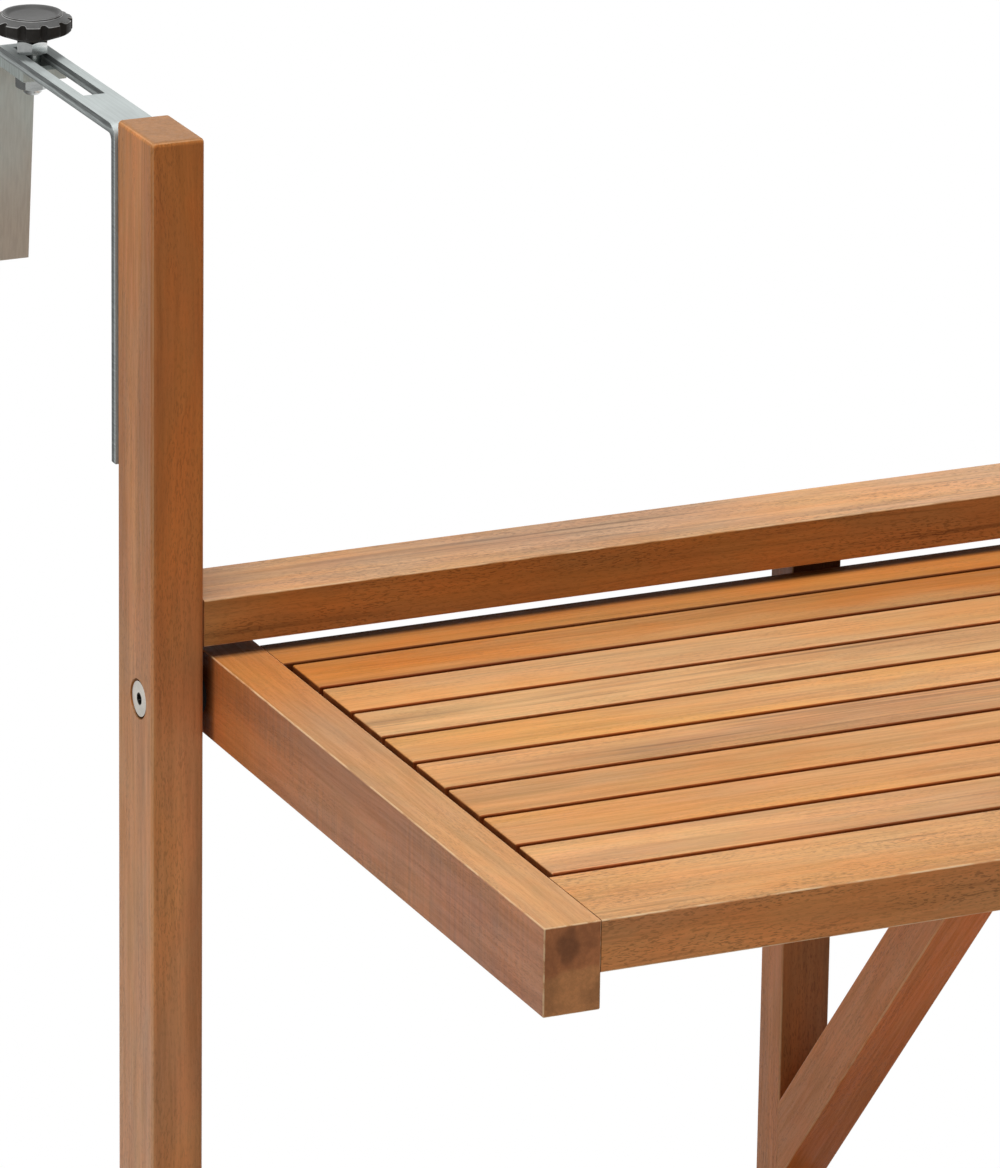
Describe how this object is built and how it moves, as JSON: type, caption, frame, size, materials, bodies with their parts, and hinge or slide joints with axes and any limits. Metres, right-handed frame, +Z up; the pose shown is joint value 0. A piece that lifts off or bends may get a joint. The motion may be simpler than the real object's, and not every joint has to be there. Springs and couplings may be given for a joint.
{
  "type": "balcony railing table",
  "caption": "Folding slatted wooden table that hangs on a balcony railing by slotted steel hooks with clamp knobs and rests on a swing-out bracket.",
  "frame": {"origin": "middle of the table's width, in the plane of the posts' backs, at the height of the strap undersides, where the top of the handrail goes", "axes": "+Z up, +Y from the person towards and past the handrail, +X to the right as seen from the person"},
  "size_m": [0.6662, 0.5399, 0.7149],
  "materials": {
    "frame_wood": "oiled hardwood, satin",
    "rail_wood": "oiled hardwood, satin",
    "slat_wood": "oiled hardwood, satin, grain varies from board to board",
    "batten_wood": "oiled hardwood, satin",
    "gate_wood": "oiled hardwood, satin",
    "dowel_wood": "plain beech",
    "strap_zinc": "zinc-plated, satin",
    "hook_steel": "zinc-plated, dull",
    "fastener_zinc": "zinc-plated",
    "knob_plastic": "moulded, satin",
    "washer_nylon": "plain nylon"
  },
  "bodies": {
    "frame": {"left_post": "frame_wood", "right_post": "frame_wood", "upper_rail": "frame_wood", "lower_rail": "frame_wood", "rail_dowels": "dowel_wood", "left_strap": "strap_zinc", "right_strap": "strap_zinc", "strap_screws": "fastener_zinc", "gate_washers": "washer_nylon"},
    "tabletop": {"left_side_rail": "rail_wood", "right_side_rail": "rail_wood", "table_back_rail": "rail_wood", "table_front_rail": "rail_wood", "slat_1": "slat_wood", "slat_2": "slat_wood", "slat_3": "slat_wood", "slat_4": "slat_wood", "slat_5": "slat_wood", "slat_6": "slat_wood", "slat_7": "slat_wood", "slat_8": "slat_wood", "left_ledger": "batten_wood", "right_ledger": "batten_wood", "centre_batten": "batten_wood", "gate_stop": "batten_wood", "slat_screws": "fastener_zinc", "table_dowels": "dowel_wood", "left_pivot_bolt": "fastener_zinc", "right_pivot_bolt": "fastener_zinc", "left_pivot_washer": "washer_nylon", "right_pivot_washer": "washer_nylon", "left_pivot_insert": "fastener_zinc", "right_pivot_insert": "fastener_zinc"},
    "gate": {"gate_stile": "gate_wood", "gate_arm": "gate_wood", "gate_brace": "gate_wood", "gate_dowels": "dowel_wood", "gate_pins": "fastener_zinc"},
    "left_clamp": {"left_clamp_bolt": "fastener_zinc", "left_clamp_washer": "fastener_zinc"},
    "left_hook_leg": {"left_hook": "hook_steel"},
    "left_knob_head": {"left_knob": "knob_plastic", "left_clamp_nut": "fastener_zinc"},
    "right_clamp": {"right_clamp_bolt": "fastener_zinc", "right_clamp_washer": "fastener_zinc"},
    "right_hook_leg": {"right_hook": "hook_steel"},
    "right_knob_head": {"right_knob": "knob_plastic", "right_clamp_nut": "fastener_zinc"}
  },
  "joints": [
    {"name": "table_lift", "type": "hinge", "parent": "frame", "child": "tabletop", "pos_m": [0, -0.0239, -0.2441], "axis": [1, 0, 0], "range_deg": [-14, 0]},
    {"name": "gate_swing", "type": "hinge", "parent": "frame", "child": "gate", "pos_m": [0, -0.01075, -0.4], "axis": [0, 0, -1], "range_deg": [0, 90]},
    {"name": "left_clamp_slide", "type": "slide", "parent": "frame", "child": "left_clamp", "axis": [0, 1, 0], "range_m": [-0.068, 0.0055]},
    {"name": "left_hook_slide", "type": "slide", "parent": "left_clamp", "child": "left_hook_leg", "axis": [0, 1, 0], "range_m": [-0.008, 0.0035]},
    {"name": "left_knob_turn", "type": "hinge", "parent": "left_clamp", "child": "left_knob_head", "pos_m": [-0.3157, 0.1217, 0.0102], "axis": [0, 0, 1], "range_deg": [0, 1080]},
    {"name": "right_clamp_slide", "type": "slide", "parent": "frame", "child": "right_clamp", "axis": [0, 1, 0], "range_m": [-0.068, 0.0055]},
    {"name": "right_hook_slide", "type": "slide", "parent": "right_clamp", "child": "right_hook_leg", "axis": [0, 1, 0], "range_m": [-0.008, 0.0035]},
    {"name": "right_knob_turn", "type": "hinge", "parent": "right_clamp", "child": "right_knob_head", "pos_m": [0.3157, 0.1217, 0.0102], "axis": [0, 0, 1], "range_deg": [0, 1080]}
  ]
}
